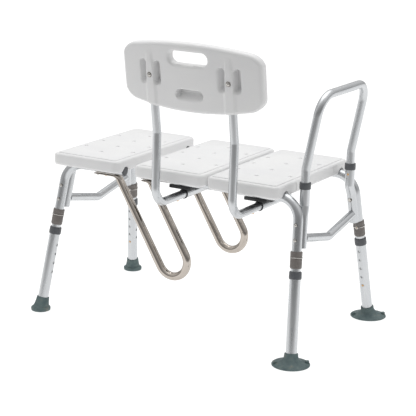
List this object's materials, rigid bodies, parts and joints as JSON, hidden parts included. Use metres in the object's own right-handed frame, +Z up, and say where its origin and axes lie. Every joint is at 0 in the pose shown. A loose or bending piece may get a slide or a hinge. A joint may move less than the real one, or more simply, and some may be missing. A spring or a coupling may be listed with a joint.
{
  "type": "bath transfer bench",
  "caption": "Bath transfer bench: white moulded seat panels and curved backrest, lift-out tubular armrest, splayed telescopic legs, chrome U-rails across a curtain gap.",
  "frame": {"origin": "middle of the overall box, on the floor", "axes": "+X towards the outer end of the bench with the separate panel and rubber tips, +Y towards the backrest, +Z up; the user faces -Y"},
  "size_m": [0.8584, 0.5773, 0.7981],
  "materials": {
    "seat_plastic": "white blow-moulded polyethylene, fine satin grain",
    "aluminium_tube": "satin anodised aluminium tube",
    "chrome_rail": "bright nickel-chrome plated steel tube",
    "black_plastic": "black moulded nylon",
    "grey_plastic": "dark grey moulded plastic",
    "taupe_plastic": "grey-brown moulded plastic",
    "clip_steel": "bright spring steel",
    "brass": "plain brass snap button",
    "foot_rubber": "dark teal-grey moulded rubber"
  },
  "bodies": {
    "bench": {"seat_panel_outer": "seat_plastic", "seat_panel_middle": "seat_plastic", "seat_panel_inner": "seat_plastic", "frame_tube_outer_rear": "aluminium_tube", "frame_plug_outer_rear": "grey_plastic", "lock_collar_outer_rear": "taupe_plastic", "lock_clip_outer_rear": "clip_steel", "frame_tube_outer_front": "aluminium_tube", "frame_plug_outer_front": "grey_plastic", "lock_collar_outer_front": "taupe_plastic", "lock_clip_outer_front": "clip_steel", "frame_tube_inner_rear": "aluminium_tube", "frame_plug_inner_rear": "grey_plastic", "lock_collar_inner_rear": "taupe_plastic", "lock_clip_inner_rear": "clip_steel", "frame_tube_inner_front": "aluminium_tube", "frame_plug_inner_front": "grey_plastic", "lock_collar_inner_front": "taupe_plastic", "lock_clip_inner_front": "clip_steel", "leg_stub_rear": "aluminium_tube", "arm_receiver_rear": "aluminium_tube", "arm_collar_rear": "grey_plastic", "gap_rail_rear": "chrome_rail", "leg_stub_front": "aluminium_tube", "arm_receiver_front": "aluminium_tube", "arm_collar_front": "grey_plastic", "gap_rail_front": "chrome_rail", "cross_brace_outer": "aluminium_tube", "cross_brace_inner": "aluminium_tube", "back_receiver_outer": "aluminium_tube", "back_mouth_ring_outer": "black_plastic", "back_bracket_outer": "black_plastic", "back_receiver_inner": "aluminium_tube", "back_mouth_ring_inner": "black_plastic", "back_bracket_inner": "black_plastic"},
    "leg_outer_rear": {"leg_extension_outer_rear": "aluminium_tube", "extension_collar_outer_rear": "grey_plastic", "rubber_tip_rear": "foot_rubber"},
    "leg_button_outer_rear": {"leg_button_outer_rear": "brass"},
    "leg_outer_front": {"leg_extension_outer_front": "aluminium_tube", "extension_collar_outer_front": "grey_plastic", "rubber_tip_front": "foot_rubber"},
    "leg_button_outer_front": {"leg_button_outer_front": "brass"},
    "leg_inner_rear": {"leg_extension_inner_rear": "aluminium_tube", "extension_collar_inner_rear": "grey_plastic", "suction_foot_rear": "foot_rubber"},
    "leg_button_inner_rear": {"leg_button_inner_rear": "brass"},
    "leg_inner_front": {"leg_extension_inner_front": "aluminium_tube", "extension_collar_inner_front": "grey_plastic", "suction_foot_front": "foot_rubber"},
    "leg_button_inner_front": {"leg_button_inner_front": "brass"},
    "armrest": {"armrest": "aluminium_tube"},
    "arm_button_rear": {"arm_button_rear": "brass"},
    "arm_button_front": {"arm_button_front": "brass"},
    "backrest": {"back_tube_outer": "aluminium_tube", "back_tube_inner": "aluminium_tube", "backrest_panel": "seat_plastic"},
    "back_button_outer": {"back_button_outer": "brass"},
    "back_button_inner": {"back_button_inner": "brass"}
  },
  "joints": [
    {"name": "leg_outer_rear_height", "type": "slide", "parent": "bench", "child": "leg_outer_rear", "axis": [0.099, 0.1725, -0.98], "range_m": [0, 0.1016]},
    {"name": "leg_outer_rear_button_press", "type": "slide", "parent": "bench", "child": "leg_button_outer_rear", "axis": [-0.0173, 0.985, 0.1716], "range_m": [0, 0.003], "stiffness_N_per_m": 400, "springref_m": -0.001},
    {"name": "leg_outer_front_height", "type": "slide", "parent": "bench", "child": "leg_outer_front", "axis": [0.099, -0.1725, -0.98], "range_m": [0, 0.1016]},
    {"name": "leg_outer_front_button_press", "type": "slide", "parent": "bench", "child": "leg_button_outer_front", "axis": [-0.0173, -0.985, 0.1716], "range_m": [0, 0.003], "stiffness_N_per_m": 400, "springref_m": -0.001},
    {"name": "leg_inner_rear_height", "type": "slide", "parent": "bench", "child": "leg_inner_rear", "axis": [-0.07, 0.1729, -0.9825], "range_m": [0, 0.1016]},
    {"name": "leg_inner_rear_button_press", "type": "slide", "parent": "bench", "child": "leg_button_inner_rear", "axis": [0.0123, 0.9849, 0.1725], "range_m": [0, 0.003], "stiffness_N_per_m": 400, "springref_m": -0.001},
    {"name": "leg_inner_front_height", "type": "slide", "parent": "bench", "child": "leg_inner_front", "axis": [-0.07, -0.1729, -0.9825], "range_m": [0, 0.1016]},
    {"name": "leg_inner_front_button_press", "type": "slide", "parent": "bench", "child": "leg_button_inner_front", "axis": [0.0123, -0.9849, 0.1725], "range_m": [0, 0.003], "stiffness_N_per_m": 400, "springref_m": -0.001},
    {"name": "armrest_lift", "type": "slide", "parent": "bench", "child": "armrest", "axis": [0, 0, 1], "range_m": [0, 0.045]},
    {"name": "arm_rear_button_press", "type": "slide", "parent": "armrest", "child": "arm_button_rear", "axis": [0, 1, 0], "range_m": [0, 0.003], "stiffness_N_per_m": 400, "springref_m": -0.001},
    {"name": "arm_front_button_press", "type": "slide", "parent": "armrest", "child": "arm_button_front", "axis": [0, -1, 0], "range_m": [0, 0.003], "stiffness_N_per_m": 400, "springref_m": -0.001},
    {"name": "backrest_pull_out", "type": "slide", "parent": "bench", "child": "backrest", "axis": [0, 1, 0], "range_m": [0, 0.09]},
    {"name": "back_outer_button_press", "type": "slide", "parent": "backrest", "child": "back_button_outer", "axis": [0, 0, 1], "range_m": [0, 0.003], "stiffness_N_per_m": 400, "springref_m": -0.001},
    {"name": "back_inner_button_press", "type": "slide", "parent": "backrest", "child": "back_button_inner", "axis": [0, 0, 1], "range_m": [0, 0.003], "stiffness_N_per_m": 400, "springref_m": -0.001}
  ]
}
